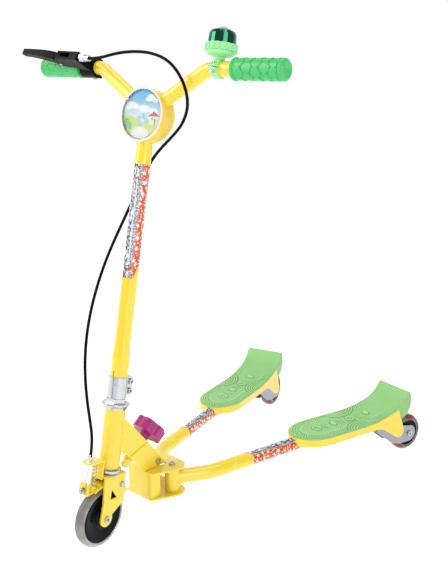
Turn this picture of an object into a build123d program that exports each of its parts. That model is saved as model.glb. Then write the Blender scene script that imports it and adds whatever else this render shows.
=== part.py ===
from build123d import *
from math import cos, degrees, pi, radians, sin, sqrt, tan
import os

# Three-wheeled kick scooter. Millimetres, +Z up, the rider faces -Y and the rider's left is +X.
# While it is being built the origin lies on the ground under the front axle. The last step moves
# everything so that the origin is the middle of the bottom of the whole object's box.

# steering column
LEAN = 10.42                  # the steering axis leans back by this many degrees
TRAIL = 10.1                  # the axis passes this far behind the front axle, at axle height
STEER_AT_REST = 7.2           # the handlebar stands turned a little, as the scooter is parked
HEAD_BOTTOM = 80.5            # heights along the steering axis, from axle height
HEAD_TOP = 178.0
COLLAR_BOTTOM = 197.0
COLLAR_TOP = 231.0
STEM_BOTTOM = 200.0
STEM_TOP = 664.0
BAR_HEIGHT = 720.5
BAR_HALF_WIDTH = 243.0
ARM_ROOT = 652.6              # where the two arms' centre lines meet on the stem
ARM_CORNER = 107.5            # where they turn level
ARM_BEND_R = 32.0
LEVER_CLAMP = (-146.0, -117.5)
LEVER_SCREW = -138.0

# tubes
STEERER_R = 12.7
STEM_R = 12.7
SWAGE_R = 14.3
BAR_R = 11.1
HEAD_R = 17.0
HEAD_WALL = 2.0
LEG_R = 12.7
TUBE_WALL = 1.8

# front wheel and fork
FRONT_R = 50.0
FRONT_HALF_WIDTH = 11.0
CORE_R = 42.0
FORK_INSIDE = 13.5
FORK_PLATE = 3.0
FORK_OUTSIDE = FORK_INSIDE + FORK_PLATE
CROWN_TOP = 71.0
AXLE_BOLT_R = 4.0

# brake
BRAKE_PIVOT = (18.6, 51.1)    # y and z in the steering frame
BRAKE_HALF_WIDTH = 12.5
FENDER_R = 58.0               # the brake arm's plate follows the tyre at this radius
SPRING_SEAT = 55.0
SPRING_Y = -34.5
PINCH_HEIGHT = 52.0
FLANGE_Y = -54.0
TAB_TOP = 98.0
CABLE_Y = -47.0
CABLE_R = 2.4
LEVER_TILT = 19.0
LEVER_PIVOT = (-172.0, -28.0)
LEVER_DROOP = 2.7             # the lever's arm hangs this much lower at its inner end
ADJUSTER_Y = -38.0

# picture housing and bell
DISC_CENTRE = 647.2
DISC_R = 41.8
DISC_FACE = -19.8
BELL_X = 125.5

# fold joint, yoke and legs
FOLD_PIVOT = (117.5, 110.5)
FOLD_HALF_WIDTH = 16.0
GUSSET_HALF_WIDTH = 14.5
SHEET = 2.5
YOKE_FRONT = 88.4
WALL_LENGTH = 37.5
CHEEK_R = 8.0
BRACKET_BOTTOM = 101.6
YOKE_HALF_WIDTH = 30.7
YOKE_BOTTOM = 51.0
YOKE_TOP = 101.0
YOKE_PLATE = 3.0
YOKE_BEND_R = 7.0
LEG_PIVOT = (29.0, 139.0)
EAR_R = 22.0
LEG_HEIGHT = 76.5
LEG_CORNER = (64.1, 201.3)
SLEEVE_R = 13.0

# decks and rear casters, in a deck frame: x outward, y backward, z up, origin under the tail's crest
DECK_SPLAY = 14.0
DECK_ORIGIN = (170.2, 626.8)
DECK_FRONT = -262.0
DECK_HALF_WIDTH = 45.5
TAIL_HALF_WIDTH = 43.2
DECK_TOP = 97.3
DECK_SHEET = 1.8
SKIRT_BOTTOM = 84.0
PAD_THICKNESS = 3.0
PAD_MARGIN = 1.0
TAIL_TOP = 143.4
TUBE_UNDER_DECK = 83.6
REAR_R = 37.5
REAR_HALF_WIDTH = 12.0
REAR_AXLE_Y = 34.5
CASTER_LEAN = 25.0
CASTER_POINT = (-40.0, 73.0)
CASTER_INSIDE = 13.2
CASTER_PLATE = 2.5
KINGPIN_R = 4.0

RUNNING = 0.05                # radial clearance of shafts in their bores
GAP = 0.3                     # gap between faces that move past each other

STEERING = Location((0, TRAIL, FRONT_R), (-LEAN, 0, STEER_AT_REST))
HEAD = Location((0, TRAIL, FRONT_R), (-LEAN, 0, 0))
WHEEL_Y = -TRAIL * cos(radians(LEAN))
WHEEL_Z = -TRAIL * sin(radians(LEAN))
LEVER = Location((0, 0, BAR_HEIGHT), (-LEVER_TILT, 0, 0))
LEVER_ARM = LEVER * Location((-220, 0, 0), (0, LEVER_DROOP, 0)) * Pos(220, 0, 0)
DECK = Location((DECK_ORIGIN[0], DECK_ORIGIN[1], 0), (0, 0, -DECK_SPLAY))
CASTER = Location((0, CASTER_POINT[0], CASTER_POINT[1]), (CASTER_LEAN, 0, 0))

nodes = {}


def rod(start, end, radius):
    """A solid cylinder between two points."""
    start = Vector(*start)
    end = Vector(*end)
    plane = Plane(origin=start, z_dir=end - start)
    return extrude(plane * Circle(radius), (end - start).length)


def pipe(start, end, outer, inner):
    """A straight tube between two points."""
    return rod(start, end, outer) - rod(start, end, inner)


def block(low, high):
    """A box from its lowest corner to its highest."""
    size = [high[i] - low[i] for i in range(3)]
    middle = [(high[i] + low[i]) / 2 for i in range(3)]
    return Pos(*middle) * Box(*size)


def side_plate(outline, x_low, x_high):
    """A plate cut to a closed outline of (y, z) points, between two x values."""
    wire = Polyline(*[(x_low, y, z) for y, z in outline], close=True)
    return extrude(make_face(wire), amount=x_high - x_low, dir=(1, 0, 0))


def cross_rod(y, z, x_low, x_high, radius):
    """A cylinder that lies along X."""
    return rod((x_low, y, z), (x_high, y, z), radius)


def turned(profile, origin=(0, 0, 0), axis=(0, 0, 1)):
    """A solid of revolution from (radius, height) points."""
    axis = Vector(*axis)
    side = Vector(1, 0, 0) if abs(axis.X) < 0.9 else Vector(0, 1, 0)
    plane = Plane(origin=origin, x_dir=side, z_dir=side.cross(axis))
    face = make_face(plane * Polyline(*profile, close=True))
    return revolve(face, axis=Axis(origin, tuple(axis)))


def hex_prism(start, end, across_flats):
    """A hexagonal nut or bolt head between two points."""
    start = Vector(*start)
    end = Vector(*end)
    plane = Plane(origin=start, z_dir=end - start)
    return extrude(plane * RegularPolygon(across_flats / sqrt(3), 6), (end - start).length)


def ring_sector(inner, outer, low_deg, high_deg, x_low, x_high):
    """Part of a ring round the front wheel's centre. Angles are counted from straight back."""
    def at(radius, angle):
        return (x_low, WHEEL_Y + radius * cos(radians(angle)), WHEEL_Z + radius * sin(radians(angle)))
    middle = (low_deg + high_deg) / 2
    outer_arc = ThreePointArc(at(outer, low_deg), at(outer, middle), at(outer, high_deg))
    inner_arc = ThreePointArc(at(inner, high_deg), at(inner, middle), at(inner, low_deg))
    ends = Line(at(outer, high_deg), at(inner, high_deg)) + Line(at(inner, low_deg), at(outer, low_deg))
    return extrude(make_face(outer_arc + ends + inner_arc), amount=x_high - x_low, dir=(1, 0, 0))


def swept(path, radius):
    """A round bar along a path."""
    start = Plane(origin=path @ 0, z_dir=path % 0)
    return sweep(start * Circle(radius), path=path)


def mirrored(shape):
    return mirror(shape, about=Plane.YZ)


# steered assembly: everything in the steering frame, x to the rider's left, z up the axis

def fork():
    axle = (WHEEL_Y, WHEEL_Z)
    lobe = 13.0
    outline = [(-23.5, CROWN_TOP), (-21.0, 24.0), (axle[0] - lobe, axle[1] + 2), (axle[0] - lobe, axle[1]),
               (axle[0], axle[1]), (axle[0] + lobe - 1, axle[1] + 5), (27.0, 21.0), (26.0, CROWN_TOP)]
    window = [(-5.0, 47.5), (-5.5, 29.5), (9.5, 30.5)]
    side = side_plate(outline, FORK_INSIDE, FORK_OUTSIDE)
    side += cross_rod(*axle, FORK_INSIDE, FORK_OUTSIDE, lobe)
    side -= side_plate(window, FORK_INSIDE - 1, FORK_OUTSIDE + 1)
    crown = block((-FORK_OUTSIDE, -23.5, CROWN_TOP - FORK_PLATE), (FORK_OUTSIDE, 26.0, CROWN_TOP))
    envelope = block((-FORK_OUTSIDE, -40, -20), (FORK_OUTSIDE, 40, CROWN_TOP))
    envelope = fillet(envelope.edges().filter_by(Axis.Y).sort_by(Axis.Z)[-2:], 4.0)
    shape = (crown + side + mirrored(side)) & envelope
    shape -= rod((0, 0, 60), (0, 0, 75), STEERER_R)
    shape += steerer()
    shape -= cross_rod(*axle, -20, 20, AXLE_BOLT_R + RUNNING)
    return shape - cross_rod(*BRAKE_PIVOT, -20, 20, 3.0 + RUNNING)


def steerer():
    return pipe((0, 0, 66), (0, 0, 226), STEERER_R, STEERER_R - 2)


def headset_cones():
    lower = turned([(STEERER_R, CROWN_TOP), (19.0, CROWN_TOP), (17.0, 73.4), (STEERER_R, 73.4)])
    nut = hex_prism((0, 0, 189.0), (0, 0, 196.5), 30.0)
    nut -= rod((0, 0, 180), (0, 0, 200), STEERER_R)
    return Compound([lower, nut])


def clamp_collar():
    ring = pipe((0, 0, COLLAR_BOTTOM), (0, 0, COLLAR_TOP), 15.9, SWAGE_R)
    bore = rod((0, 0, COLLAR_BOTTOM), (0, 0, COLLAR_TOP), SWAGE_R)
    ears = block((-4.5, 14.0, COLLAR_BOTTOM + 1), (4.5, 30.5, COLLAR_TOP - 1)) - bore
    ears = fillet(ears.edges().filter_by(Axis.X).sort_by(Axis.Y)[-2:], 5.0)
    slit = block((-1.0, 10.0, COLLAR_BOTTOM - 1), (1.0, 32.0, COLLAR_TOP + 1))
    shape = ring + ears - slit
    for height in (205.5, 221.0):
        shape -= cross_rod(23.5, height, -10, 10, 3.0)
    return shape


def clamp_bolts():
    bolts = []
    for height in (205.5, 221.0):
        shank = cross_rod(23.5, height, -10.5, 4.5, 3.0)
        head = cross_rod(23.5, height, 4.5, 8.5, 4.8) - hex_prism((6.2, 23.5, height), (9, 23.5, height), 4.0)
        nut = hex_prism((-9.0, 23.5, height), (-4.5, 23.5, height), 9.0)
        bolts.append(shank + head + nut)
    return Compound(bolts)


def stem():
    outer = [(0, STEM_BOTTOM), (SWAGE_R, STEM_BOTTOM), (SWAGE_R, 264), (STEM_R, 290), (STEM_R, STEM_TOP), (0,
                                                                                                           STEM_TOP)]
    inner = [(0, STEM_BOTTOM - 1), (STEERER_R + 0.05, STEM_BOTTOM - 1), (STEERER_R + 0.05, 262),
             (STEM_R - 1.6, 288), (STEM_R - 1.6, STEM_TOP + 1), (0, STEM_TOP + 1)]
    slot = block((-1.0, -16, STEM_BOTTOM - 1), (1.0, -10, 241))
    return turned(outer) - turned(inner) - slot


def arm_path(side):
    points = [(0, 0, ARM_ROOT), (side * ARM_CORNER, 0, BAR_HEIGHT), (side * (BAR_HALF_WIDTH - 3), 0,
                                                                     BAR_HEIGHT)]
    return FilletPolyline(*points, radius=ARM_BEND_R)


def bar_arm(side):
    path = arm_path(side)
    tube = swept(path, BAR_R) - swept(path, BAR_R - 1.6)
    return tube - rod((0, 0, 600), (0, 0, 700), STEM_R)


def grip():
    """A hollow grip with a collar at its inner end and a closed rounded outer end."""
    inner_end = 153.0
    outline = [(BAR_R, inner_end), (17.2, inner_end), (17.2, inner_end + 3.5), (15.3, inner_end + 4.5),
               (15.3, BAR_HALF_WIDTH - 8), (15.8, BAR_HALF_WIDTH - 7), (15.8, BAR_HALF_WIDTH - 2.5),
               (13.5, BAR_HALF_WIDTH), (0, BAR_HALF_WIDTH), (0, BAR_HALF_WIDTH - 2.8), (BAR_R,
                                                                                        BAR_HALF_WIDTH - 2.8)]
    return turned(outline, origin=(0, 0, BAR_HEIGHT), axis=(1, 0, 0))


def disc_turned(profile):
    return turned(profile, origin=(0, 0, DISC_CENTRE), axis=(0, 1, 0))


def picture_housing():
    """A round bowl that wraps the joint of the stem and the two arms."""
    corner = 20.0
    wall = 2.2
    back = 28.0

    def bowl(radius, front, rear, bend):
        face = Polyline((0, rear), (0, front), (radius, front), (radius, rear - bend))
        bottom = Line((radius - bend, rear), (0, rear))
        turn = CenterArc((radius - bend, rear - bend), bend, 0, 90)
        plane = Plane(origin=(0, 0, DISC_CENTRE), x_dir=(1, 0, 0), z_dir=(0, 0, 1))
        return revolve(make_face(plane * (face + turn + bottom)), axis=Axis((0, 0, DISC_CENTRE), (0, 1, 0)))

    shape = bowl(DISC_R, DISC_FACE + 3.8, back, corner)
    shape -= bowl(DISC_R - wall, DISC_FACE - 1, back - wall, corner - wall)
    shape -= rod((0, 0, 590), (0, 0, DISC_CENTRE), STEM_R)
    for side in (-1, 1):
        start = (0, 0, ARM_ROOT)
        end = (side * ARM_CORNER, 0, BAR_HEIGHT)
        shape -= rod(start, end, BAR_R)
    return shape


def picture_disc():
    return disc_turned([(0, DISC_FACE + 5.4), (39.0, DISC_FACE + 5.4), (39.0, DISC_FACE + 6.4),
                        (0, DISC_FACE + 6.4)])


def clear_cover():
    """A shallow clear dish that closes the housing."""
    outer = [(0, DISC_FACE), (36.0, DISC_FACE + 0.4), (40.5, DISC_FACE + 1.2), (DISC_R, DISC_FACE + 2.4),
             (DISC_R, DISC_FACE + 3.8), (39.4, DISC_FACE + 3.8), (39.0, DISC_FACE + 5.4), (37.0,
                                                                                           DISC_FACE + 5.4),
             (37.0, DISC_FACE + 3.0), (34.0, DISC_FACE + 2.2), (0, DISC_FACE + 2.0)]
    return disc_turned(outer)


def cover_clips():
    """Two small wire staples that hold the cover, left and right of its top."""
    clips = []
    for side in (-1, 1):
        x = side * 30.0
        z = DISC_CENTRE + 22.5
        wire = rod((x - 3.5, DISC_FACE + 0.2, z), (x + 3.5, DISC_FACE + 0.2, z), 0.9)
        clips.append(wire - clear_cover())
    return Compound(clips)


def bell_base():
    """The bell's clamp round the bar, its neck and the cup under the ring."""
    x_low = BELL_X - 5.5
    x_high = BELL_X + 5.5
    band = pipe((x_low, 0, BAR_HEIGHT), (x_high, 0, BAR_HEIGHT), 14.0, BAR_R)
    ears = block((x_low, -20.5, BAR_HEIGHT - 5), (x_high, -12.5, BAR_HEIGHT + 5))
    ears = fillet(ears.edges().filter_by(Axis.X).sort_by(Axis.Y)[:2], 3.0)
    ears -= cross_rod(0, BAR_HEIGHT, x_low, x_high, BAR_R)
    slit = block((x_low - 1, -21.5, BAR_HEIGHT - 0.8), (x_high + 1, -10.0, BAR_HEIGHT + 0.8))
    cup = turned([(0, 732.5), (7.0, 732.5), (7.5, 737), (12.0, 738.0), (19.0, 740.5), (22.5, 745.0),
                  (8.0, 745.0),
                  (8.0, 757.4), (0, 757.4)], origin=(BELL_X, 0, 0))
    cup -= cross_rod(0, BAR_HEIGHT, x_low - 5, x_high + 5, BAR_R)
    screw_hole = rod((BELL_X, -16.8, BAR_HEIGHT - 9), (BELL_X, -16.8, BAR_HEIGHT + 9), 1.6)
    return band + ears + cup - slit - screw_hole


def bell_ring():
    """The scalloped ring that the rider twists."""
    ring = pipe((BELL_X, 0, 745.3), (BELL_X, 0, 756.0), 24.4, 8.0 + RUNNING)
    scallops = 18
    for i in range(scallops):
        angle = 2 * pi * i / scallops
        x = BELL_X + 25.0 * cos(angle)
        y = 25.0 * sin(angle)
        ring -= rod((x, y, 745), (x, y, 758), 2.5)
    return ring


def bell_dome():
    """The metal dome, hollow, hung on the post."""
    outer = [(0, 756.3), (21.0, 756.3), (20.6, 764), (20.2, 770.0), (18.2, 774.0), (12.5, 777.0), (0, 777.8)]
    inner = [(0, 756.0), (19.6, 756.0), (19.2, 764), (18.8, 769.4), (17.0, 772.7), (12.0, 775.4), (0, 776.2)]
    wall = turned(outer, origin=(BELL_X, 0, 0)) - turned(inner, origin=(BELL_X, 0, 0))
    post = rod((BELL_X, 0, 757.4), (BELL_X, 0, 777), 4.0)
    return wall + post


def bell_cap():
    return turned([(0, 777.8), (6.5, 777.4), (6.0, 779.6), (3.5, 781.2), (0, 781.7)], origin=(BELL_X, 0, 0)) \
        - bell_dome()


def bar_screws():
    """The bell clamp's screw, the lever clamp's screw and the lever's pivot pin."""
    bell = rod((BELL_X, -16.8, BAR_HEIGHT - 8.5), (BELL_X, -16.8, BAR_HEIGHT + 5), 1.6)
    bell += rod((BELL_X, -16.8, BAR_HEIGHT + 5), (BELL_X, -16.8, BAR_HEIGHT + 7.2), 3.0)
    bell += hex_prism((BELL_X, -16.8, BAR_HEIGHT - 7.5), (BELL_X, -16.8, BAR_HEIGHT - 5), 5.5)
    lever = rod((LEVER_SCREW, 19.0, -7.5), (LEVER_SCREW, 19.0, 5), 2.0)
    lever += rod((LEVER_SCREW, 19.0, -10.0), (LEVER_SCREW, 19.0, -7.5), 3.8)
    pin = rod((*LEVER_PIVOT, -9.0), (*LEVER_PIVOT, 9.0), 2.5) + rod((*LEVER_PIVOT, 8.0), (*LEVER_PIVOT,
                                                                                          10.0), 4.5)
    return Compound([bell, LEVER * lever, LEVER_ARM * pin])


def lever_housing():
    """Brake lever bracket: a split clamp on the bar and an arm that carries the pivot and the adjuster."""
    x_low, x_high = LEVER_CLAMP
    clamp = pipe((x_low, 0, 0), (x_high, 0, 0), 16.0, BAR_R)
    ears = block((x_low + 4, 12, -7.5), (x_high - 10, 24, 7.5)) - cross_rod(0, 0, -150, -100, BAR_R)
    ears = fillet(ears.edges().filter_by(Axis.X).sort_by(Axis.Y)[-2:], 4.0)
    slit = block((x_low - 1, 8, -0.9), (x_high + 1, 25, 0.9))
    outline = [(-119, -12), (-136, -12), (-143, -18), (-160, -19), (-178, -21), (-181, -28), (-179, -36),
               (-172, -45.0),
               (-124, -45.0), (-121, -30)]
    arm = extrude(make_face(Pos(0, 0, -7.5) * Polyline(*outline, close=True)), amount=15)
    arm = fillet(arm.edges().filter_by(Axis.Z), 1.5)
    groove = block((-190, -41.5, 6.3), (-119, -34.5, 9)) + block((-190, -47, 4.5), (-119, -43.5, 9))
    slot = block((-190, -47, -3.6), (-142, -17.5, 3.6))
    wire_hole = rod((-146, ADJUSTER_Y, 0), (-115, ADJUSTER_Y, 0), 1.6)
    pin_hole = rod((*LEVER_PIVOT, -9), (*LEVER_PIVOT, 9), 2.5)
    screw_hole = rod((LEVER_SCREW, 19.0, -11), (LEVER_SCREW, 19.0, 11), 2.0)
    head = LEVER_ARM * (arm - groove - slot - wire_hole - pin_hole)
    head -= LEVER * cross_rod(0, 0, -200, -146, BAR_R + 4.5)
    body = LEVER * (clamp + ears - slit - screw_hole)
    return body + (head - LEVER * (cross_rod(0, 0, -150, -100, BAR_R) + slit))


def brake_lever():
    """The blade, pivoted in the housing's slot."""
    px, py = LEVER_PIVOT
    rear_edge = Spline((px - 10, py + 3.5), (-199, -32.5), (-224, -38.0), (-245.5, -39.5))
    front_edge = Spline((-247.5, -50.0), (-224, -48.5), (-199, -45.5), (px - 8, -41.0))
    tip = ThreePointArc((-245.5, -39.5), (-252, -44.5), (-247.5, -50.0))
    root = Line((px - 8, -41.0), (px - 10, py + 3.5))
    blade = extrude(make_face(Pos(0, 0, -6.5) * (rear_edge + tip + front_edge + root)), amount=13)
    across = Plane(origin=(0, -60, 0), x_dir=(1, 0, 0), z_dir=(0, 1, 0))
    for side in (-1, 1):
        wedge = Polyline((-262, side * 3.6), (-196, side * 6.6), (-262, side * 6.6), close=True)
        blade -= extrude(across * make_face(wedge), amount=40)
    root_outline = [(px - 11, py + 4), (px + 4, py + 6.5), (px + 7, py), (px + 6, py - 15.0), (px - 11,
                                                                                               py - 12.5)]
    root_plate = extrude(make_face(Pos(0, 0, -3.2) * Polyline(*root_outline, close=True)), amount=6.4)
    shape = blade + root_plate
    shape -= rod((px, py, -9), (px, py, 9), 2.5 + RUNNING)
    shape -= rod((px, ADJUSTER_Y, -9), (px, ADJUSTER_Y, 9), 2.2)
    return LEVER_ARM * shape


def cable_adjuster():
    y = ADJUSTER_Y
    nut = hex_prism((-121, y, 0), (-111.5, y, 0), 11.0)
    barrel = rod((-111.5, y, 0), (-101.5, y, 0), 4.8)
    bore = rod((-122, y, 0), (-100, y, 0), 1.4)
    socket = rod((-106, y, 0), (-100, y, 0), CABLE_R)
    return LEVER_ARM * (nut + barrel - bore - socket)


def cable_route():
    """The brake cable's centre line, from the adjuster to the tab over the front wheel."""
    start = tuple((LEVER_ARM * Pos(-106, ADJUSTER_Y, 0)).position)
    ahead = tuple((LEVER_ARM * Pos(-86, ADJUSTER_Y, 0)).position)
    return [start, ahead, (-47.0, -33.0, 737.6), (-10.0, -28.5, 740.6), (22.0, -26.0, 737.0),
            (50.0, -24.5, 726.4), (72.5, -23.0, 706.0), (86.5, -20.5, 682.0), (86.0, -13.0, 659.0), (70.0,
                                                                                                     -2.0, 637.0),
            (46.0, 9.0, 620.5), (22.0, 17.0, 604.5), (3.0, 18.6, 585.0), (-9.5, 18.8, 560.0), (-18.0, 14.0,
                                                                                               532.0),
            (-23.5, 6.0, 503.0), (-27.5, -4.5, 473.0), (-31.0, -16.5, 441.0), (-33.0, -28.5, 407.0), (-33.0,
                                                                                                      -39.5, 372.0),
            (-31.0, -49.5, 336.0), (-27.0, -57.0, 300.0), (-21.5, -61.5, 264.0), (-15.0, -62.0, 228.0),
            (-9.0, -58.5, 194.0), (-3.8, -52.8, 163.0), (0.0, CABLE_Y, 134.0), (0.0, CABLE_Y, 106.0)]


def cable_path():
    points = [Vector(*p) for p in cable_route()]
    radii = []
    for before, here, after in zip(points, points[1:], points[2:]):
        turn = radians((here - before).get_angle(after - here))
        shorter = min((here - before).length, (after - here).length)
        radii.append(0.45 * shorter / tan(turn / 2))
    print("cable bend radii", [round(r) for r in radii])
    return FilletPolyline(*points, radius=radii)


def brake_cable():
    path = cable_path()
    print("cable length", round(path.length, 1))
    return swept(path, CABLE_R)


def cable_stop():
    """The threaded stop that the cable's casing ends in, on top of the tab."""
    sleeve = rod((0, CABLE_Y, TAB_TOP), (0, CABLE_Y, 110), 3.4) + rod((0, CABLE_Y, 93.5), (0, CABLE_Y,
                                                                                           TAB_TOP), 2.6)
    nut = hex_prism((0, CABLE_Y, TAB_TOP), (0, CABLE_Y, TAB_TOP + 3), 8.0)
    return sleeve + nut - rod((0, CABLE_Y, 106), (0, CABLE_Y, 111), CABLE_R) - rod((0, CABLE_Y, 92), (0,
                                                                                                      CABLE_Y, 107), 1.2)


def cable_loop():
    """A small loop on the back of the stem that the cable runs through."""
    middle = Vector(-4.5, 18.7, 570.0)
    along = Vector(-12.5, 0.2, -25.0).normalized()
    plane = Plane(origin=middle - along * 4, z_dir=along)
    loop = extrude(plane * (Circle(4.2) - Circle(2.9)), 8)
    foot = block((-6.5, 11.5, 566), (-2.5, 15.8, 574)) - rod((0, 0, 560), (0, 0, 580), STEM_R)
    return loop + foot - extrude(plane * Circle(2.9), 8)


def cable_fittings():
    return Compound([cable_stop(), cable_loop()])


def brake_bracket():
    """An angle plate on the fork crown whose tab holds the cable's stop."""
    top = block((-11, -58, TAB_TOP - 2.5), (11, -23.5, TAB_TOP))
    top = fillet(top.edges().filter_by(Axis.Z).sort_by(Axis.Y)[:2], 10.5)
    upright = block((-11, -26.0, 66), (11, -23.5, TAB_TOP - 2.5))
    return upright + top - rod((0, CABLE_Y, 90), (0, CABLE_Y, 100), 2.6)


def brake_spring():
    """The coiled wire between the tab and the brake arm."""
    turns = 7
    wire = 0.75
    bottom = SPRING_SEAT + wire
    height = TAB_TOP - 2.5 - SPRING_SEAT - 2 * wire
    path = Helix(pitch=height / turns, height=height, radius=4.2, center=(0, SPRING_Y, bottom))
    start = Plane(origin=path @ 0, z_dir=path % 0)
    return sweep(start * Circle(wire), path=path, is_frenet=True)


def brake_pivot_bolt():
    shank = cross_rod(*BRAKE_PIVOT, -20.5, FORK_OUTSIDE, 3.0)
    head = cross_rod(*BRAKE_PIVOT, FORK_OUTSIDE, FORK_OUTSIDE + 3.2, 5.0)
    nut = hex_prism((-20.0, *BRAKE_PIVOT), (-FORK_OUTSIDE, *BRAKE_PIVOT), 9.0)
    return shank + head + nut


def front_axle_bolt():
    """The axle, its two head and nut, and the spacers that keep the wheel in the middle."""
    shank = cross_rod(WHEEL_Y, WHEEL_Z, -21.0, FORK_OUTSIDE, AXLE_BOLT_R)
    head = cross_rod(WHEEL_Y, WHEEL_Z, FORK_OUTSIDE, FORK_OUTSIDE + 3.4, 5.6)
    head -= hex_prism((FORK_OUTSIDE + 1.4, WHEEL_Y, WHEEL_Z), (FORK_OUTSIDE + 4, WHEEL_Y, WHEEL_Z), 4.5)
    nut = hex_prism((-20.5, WHEEL_Y, WHEEL_Z), (-FORK_OUTSIDE, WHEEL_Y, WHEEL_Z), 12.0)
    spacers = []
    for side in (-1, 1):
        low = min(side * FORK_INSIDE, side * (FRONT_HALF_WIDTH + GAP))
        high = max(side * FORK_INSIDE, side * (FRONT_HALF_WIDTH + GAP))
        spacers.append(cross_rod(WHEEL_Y, WHEEL_Z, low, high, 6.5))
    return shank + head + nut + spacers[0] + spacers[1]


# brake arm

def brake_arm():
    """A curved plate over the wheel: the cable lifts its front, and its tail presses the pad on the tyre."""
    w = BRAKE_HALF_WIDTH
    sheet = 2.0
    y, z = BRAKE_PIVOT
    fender = ring_sector(FENDER_R - sheet, FENDER_R, 36, 121, -w, w)
    cheek = [(y - 16, 53.5), (y - 6, 50.5), (y, 44.0), (y + 6.5, z - 2), (y + 5, 58.5), (y - 10, 58.5)]
    cheeks = side_plate(cheek, w - sheet, w) + side_plate(cheek, -w, sheet - w)
    cheeks += ring_sector(54.0, 62.5, 38, 66, w - sheet, w) + ring_sector(54.0, 62.5, 38, 66, -w, sheet - w)
    seat = rod((0, SPRING_Y, 47.0), (0, SPRING_Y, SPRING_SEAT), 6.5)
    lip = side_plate([(-38.0, 49.5), (FLANGE_Y + 1, 46.5), (FLANGE_Y + 1, 44.5), (-38.0, 47.5)], -9.5, 9.5)
    front = block((-9.5, FLANGE_Y, 44.5), (9.5, FLANGE_Y + sheet, 65.5))
    front = fillet(front.edges().filter_by(Axis.Y).sort_by(Axis.Z)[-2:], 8.5)
    below = wheel_turned([(0, 20), (FENDER_R - sheet, 20), (FENDER_R - sheet, -20), (0, -20)], WHEEL_Y,
                         WHEEL_Z)
    shape = fender + cheeks + (seat + lip - below) + front
    shape -= rod((0, -70, PINCH_HEIGHT), (0, -40, PINCH_HEIGHT), 3.0)
    return shape - cross_rod(*BRAKE_PIVOT, -20, 20, 3.0 + RUNNING)


def brake_pad():
    return ring_sector(51.7, 56.0, 38, 57, -9, 9)


def pinch_bolt():
    """The bolt that pinches the end of the wire on the arm's front flange."""
    y = FLANGE_Y
    z = PINCH_HEIGHT
    shank = rod((0, y - 8.5, z), (0, y + 5.5, z), 3.0)
    nut = hex_prism((0, y - 6.5, z), (0, y - 2.0, z), 9.0)
    washer = rod((0, y - 2.0, z), (0, y, z), 5.5)
    head = hex_prism((0, y + 2.0, z), (0, y + 5.0, z), 8.0)
    return shank + nut + washer + head


def brake_wire():
    """The bare wire from the stop down to the pinch bolt."""
    y = FLANGE_Y - 1.0
    path = FilletPolyline((0, CABLE_Y, 105), (0, CABLE_Y, 90), (3.6, y, 69), (3.6, y, PINCH_HEIGHT + 6),
                          radius=8)
    return swept(path, 0.8)


# front wheel

def wheel_turned(profile, y, z):
    return turned(profile, origin=(0, y, z), axis=(1, 0, 0))


def front_wheel_core():
    h = FRONT_HALF_WIDTH
    half = [(8.0, h), (11.0, h), (12.0, h - 1.5), (16.0, h - 4.0), (22.0, h - 4.5), (36.0, h - 2.0), (40.0,
                                                                                                      h - 1.6),
            (CORE_R, h - 2.6)]
    profile = half + [(r, -x) for r, x in reversed(half)]
    return wheel_turned(profile, WHEEL_Y, WHEEL_Z)


def front_tyre():
    h = FRONT_HALF_WIDTH
    half = [(CORE_R, h - 2.6), (CORE_R + 1.5, h - 1.2), (45.0, h - 1.6), (47.5, h - 3.4), (49.2, h - 6.0),
            (FRONT_R, h - 9.6)]
    profile = half + [(r, -x) for r, x in reversed(half)]
    return wheel_turned(profile, WHEEL_Y, WHEEL_Z)


def front_bearings():
    rings = []
    for side in (-1, 1):
        ends = sorted((side * (FRONT_HALF_WIDTH - 6.5), side * (FRONT_HALF_WIDTH - 0.2)))
        rings.append(pipe((ends[0], WHEEL_Y, WHEEL_Z), (ends[1], WHEEL_Y, WHEEL_Z), 8.0,
                          AXLE_BOLT_R + RUNNING))
    return Compound(rings)


# front frame

def headset_cups():
    lower = turned([(STEERER_R + RUNNING, 75.2), (19.5, 73.8), (20.6, 75.6), (20.6, 78.4),
                    (19.0, HEAD_BOTTOM),
                    (HEAD_R - HEAD_WALL, HEAD_BOTTOM), (HEAD_R - HEAD_WALL, 90), (STEERER_R + RUNNING, 90)])
    upper = turned([(STEERER_R + RUNNING, 168), (HEAD_R - HEAD_WALL, 168), (HEAD_R - HEAD_WALL, HEAD_TOP),
                    (HEAD_R + 0.6, HEAD_TOP), (19.5, 182.0), (23.0, 185.6), (23.0, 188.0), (21.6, 188.7),
                    (STEERER_R + RUNNING, 188.7)])
    return HEAD * Compound([lower, upper])


def head_tube():
    return HEAD * pipe((0, 0, HEAD_BOTTOM), (0, 0, HEAD_TOP), HEAD_R, HEAD_R - HEAD_WALL)


RIDGE_TOP = (50.0, 209.3)
SEAM_TOP = (97.0, 152.5)
RIDGE_END = (134.0, 102.8)
SEAM_BOTTOM = (57.3, 138.0)
NOTCH = (36.0, 157.5)


def inset(outline, amount):
    """The same closed outline, moved inward by a wall's thickness."""
    face = make_face(Polyline(*outline, close=True))
    inner = offset(face, amount=-amount, kind=Kind.INTERSECTION)
    return inner


def gusset():
    """A box of folded sheet between the head tube and the fold bracket."""
    outline = [(38.0, 223.6), SEAM_TOP, SEAM_BOTTOM, NOTCH]
    yz = Plane(origin=(0, 0, 0), x_dir=(0, 1, 0), z_dir=(1, 0, 0))
    outer = extrude(yz * make_face(Polyline(*outline, close=True)), GUSSET_HALF_WIDTH, both=True)
    inner = extrude(yz * inset(outline, SHEET), GUSSET_HALF_WIDTH - SHEET, both=True)
    shape = outer - inner - stud_hole()
    return shape - HEAD * rod((0, 0, 60), (0, 0, 200), HEAD_R)


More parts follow.
